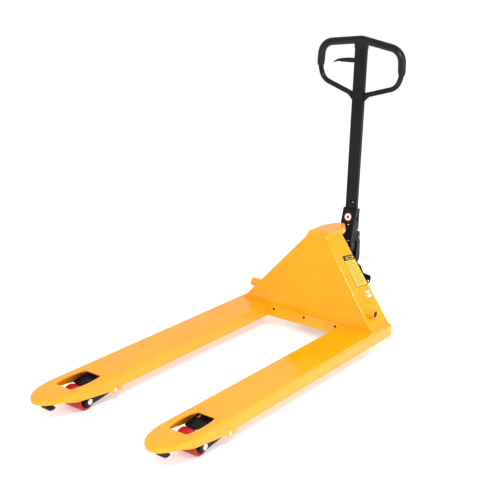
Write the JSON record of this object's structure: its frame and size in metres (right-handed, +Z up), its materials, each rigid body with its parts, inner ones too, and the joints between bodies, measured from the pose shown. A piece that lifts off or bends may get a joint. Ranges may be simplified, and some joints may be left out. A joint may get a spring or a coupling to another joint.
{
  "type": "pallet jack",
  "caption": "Hand pallet truck: two long forks on a steered hydraulic hand pump with an upright drawbar and loop handle.",
  "frame": {"origin": "centre of the whole truck's footprint box, on the floor, with the forks a little above their lowest height", "axes": "+Z up, -Y towards the fork tips, +Y towards the operator, +X to the truck's right as seen from the fork tips"},
  "size_m": [0.688, 1.676, 1.2446],
  "materials": {
    "orange_paint": "gloss orange-yellow powder coat",
    "black_paint": "satin black paint",
    "black_plastic": "fine moulded grain",
    "black_rubber": "matte moulded rubber",
    "red_polyurethane": "semi-gloss cast polyurethane",
    "cast_iron": "painted grey casting",
    "zinc_steel": "bright zinc plate",
    "chrome": "hard chrome"
  },
  "bodies": {
    "chassis": {"fork_left": "orange_paint", "fork_right": "orange_paint", "frame_shell": "orange_paint", "crown_plate": "orange_paint", "cross_member": "orange_paint", "shaft_boss_left": "orange_paint", "shaft_boss_right": "orange_paint", "ram": "chrome", "frame_pin_left": "zinc_steel", "frame_pin_right": "zinc_steel", "entry_axle_left": "zinc_steel", "entry_axle_right": "zinc_steel"},
    "carrier": {"pump_carrier": "black_paint", "carrier_pin_left": "zinc_steel", "carrier_pin_right": "zinc_steel", "thrust_bearing": "zinc_steel"},
    "pump_unit": {"pump_body": "black_paint", "gland_nut": "zinc_steel", "wheel_axle": "zinc_steel", "drawbar_pin": "zinc_steel", "release_pin": "zinc_steel", "plunger_spring": "zinc_steel"},
    "steer_wheel_left": {"wheel_core_left": "cast_iron", "wheel_tyre_left": "black_rubber"},
    "steer_wheel_right": {"wheel_core_right": "cast_iron", "wheel_tyre_right": "black_rubber"},
    "drawbar": {"drawbar_base": "black_paint", "drawbar_tube": "black_paint", "handle_loop": "black_paint", "handle_grip": "black_rubber", "cam_roller": "zinc_steel", "lever_pin": "black_paint", "base_bolt_left": "black_paint", "base_bolt_right": "black_paint"},
    "control_lever": {"control_lever": "black_plastic"},
    "pull_rod": {"pull_rod": "zinc_steel", "rod_nut": "zinc_steel"},
    "plunger": {"plunger": "chrome", "spring_cap": "black_paint"},
    "release_lever": {"release_lever": "black_paint"},
    "rocker": {"torsion_shaft": "black_paint", "rocker_arm_left": "black_paint", "rocker_arm_right": "black_paint", "lift_arm_left": "black_paint", "lift_arm_right": "black_paint"},
    "push_rod_left": {"push_rod_left": "black_paint"},
    "push_rod_right": {"push_rod_right": "black_paint"},
    "roller_frame_left": {"roller_frame_left": "black_paint", "roller_axle_left": "zinc_steel", "crank_pin_left": "zinc_steel"},
    "roller_frame_right": {"roller_frame_right": "black_paint", "roller_axle_right": "zinc_steel", "crank_pin_right": "zinc_steel"},
    "load_roller_left": {"roller_core_left": "black_paint", "roller_tread_left": "red_polyurethane"},
    "load_roller_right": {"roller_core_right": "black_paint", "roller_tread_right": "red_polyurethane"},
    "entry_roller_left": {"entry_roller_left": "black_plastic"},
    "entry_roller_right": {"entry_roller_right": "black_plastic"}
  },
  "joints": [
    {"name": "lift", "type": "slide", "parent": "chassis", "child": "carrier", "axis": [0, 0, -1], "range_m": [-0.0217, 0.0933]},
    {"name": "steer", "type": "hinge", "parent": "carrier", "child": "pump_unit", "pos_m": [0, 0.67, 0.204], "axis": [0, 0, 1], "range_deg": [-90, 90]},
    {"name": "steer_wheel_left_spin", "type": "hinge", "parent": "pump_unit", "child": "steer_wheel_left", "pos_m": [-0.06, 0.67, 0.09], "axis": [1, 0, 0], "continuous": true},
    {"name": "steer_wheel_right_spin", "type": "hinge", "parent": "pump_unit", "child": "steer_wheel_right", "pos_m": [0.06, 0.67, 0.09], "axis": [1, 0, 0], "continuous": true},
    {"name": "drawbar_tilt", "type": "hinge", "parent": "pump_unit", "child": "drawbar", "pos_m": [0, 0.765, 0.345], "axis": [-1, 0, 0], "range_deg": [0, 70], "stiffness_Nm_per_rad": 25, "springref_deg": -28.65},
    {"name": "control_lever_swing", "type": "hinge", "parent": "drawbar", "child": "control_lever", "pos_m": [0.007, 0.795, 1.136], "axis": [0, 1, 0], "range_deg": [-12, 12], "stiffness_Nm_per_rad": 1},
    {"name": "pull_rod_slide", "type": "slide", "parent": "drawbar", "child": "pull_rod", "axis": [0, 0, 1], "range_m": [-0.0033, 0.0033]},
    {"name": "plunger_press", "type": "slide", "parent": "pump_unit", "child": "plunger", "axis": [0, 0, -1], "range_m": [0, 0.029], "deforming": ["plunger_spring"]},
    {"name": "release_lever_swing", "type": "hinge", "parent": "pump_unit", "child": "release_lever", "pos_m": [0.036, 0.826, 0.232], "axis": [0, 1, 0], "range_deg": [-5.2, 5.2]},
    {"name": "rocker_turn", "type": "hinge", "parent": "chassis", "child": "rocker", "pos_m": [0, 0.5064, 0.168], "axis": [-1, 0, 0], "range_deg": [-5.7, 23.8]},
    {"name": "push_rod_left_slide", "type": "slide", "parent": "chassis", "child": "push_rod_left", "axis": [0, -1, 0], "range_m": [-0.0074, 0.0316]},
    {"name": "push_rod_right_slide", "type": "slide", "parent": "chassis", "child": "push_rod_right", "axis": [0, -1, 0], "range_m": [-0.0074, 0.0316]},
    {"name": "roller_frame_left_turn", "type": "hinge", "parent": "chassis", "child": "roller_frame_left", "pos_m": [-0.2625, -0.514, 0.052], "axis": [1, 0, 0], "range_deg": [-11.7, 49.7]},
    {"name": "roller_frame_right_turn", "type": "hinge", "parent": "chassis", "child": "roller_frame_right", "pos_m": [0.2625, -0.514, 0.052], "axis": [1, 0, 0], "range_deg": [-11.7, 49.7]},
    {"name": "load_roller_left_spin", "type": "hinge", "parent": "roller_frame_left", "child": "load_roller_left", "pos_m": [-0.2625, -0.626, 0.0403], "axis": [1, 0, 0], "continuous": true},
    {"name": "load_roller_right_spin", "type": "hinge", "parent": "roller_frame_right", "child": "load_roller_right", "pos_m": [0.2625, -0.626, 0.0403], "axis": [1, 0, 0], "continuous": true},
    {"name": "entry_roller_left_spin", "type": "hinge", "parent": "chassis", "child": "entry_roller_left", "pos_m": [-0.2625, -0.766, 0.0725], "axis": [1, 0, 0], "continuous": true},
    {"name": "entry_roller_right_spin", "type": "hinge", "parent": "chassis", "child": "entry_roller_right", "pos_m": [0.2625, -0.766, 0.0725], "axis": [1, 0, 0], "continuous": true}
  ],
  "couplings": [
    {"joint": "rocker_turn", "follows": "lift", "rad_per_m": 4.401},
    {"joint": "push_rod_left_slide", "follows": "lift", "ratio": 0.337},
    {"joint": "push_rod_right_slide", "follows": "lift", "ratio": 0.337},
    {"joint": "roller_frame_left_turn", "follows": "lift", "rad_per_m": 9.25},
    {"joint": "roller_frame_right_turn", "follows": "lift", "rad_per_m": 9.25},
    {"joint": "plunger_press", "follows": "drawbar_tilt", "m_per_rad": 0.0235},
    {"joint": "pull_rod_slide", "follows": "control_lever_swing", "m_per_rad": 0.015},
    {"joint": "release_lever_swing", "follows": "control_lever_swing", "ratio": 0.416}
  ]
}
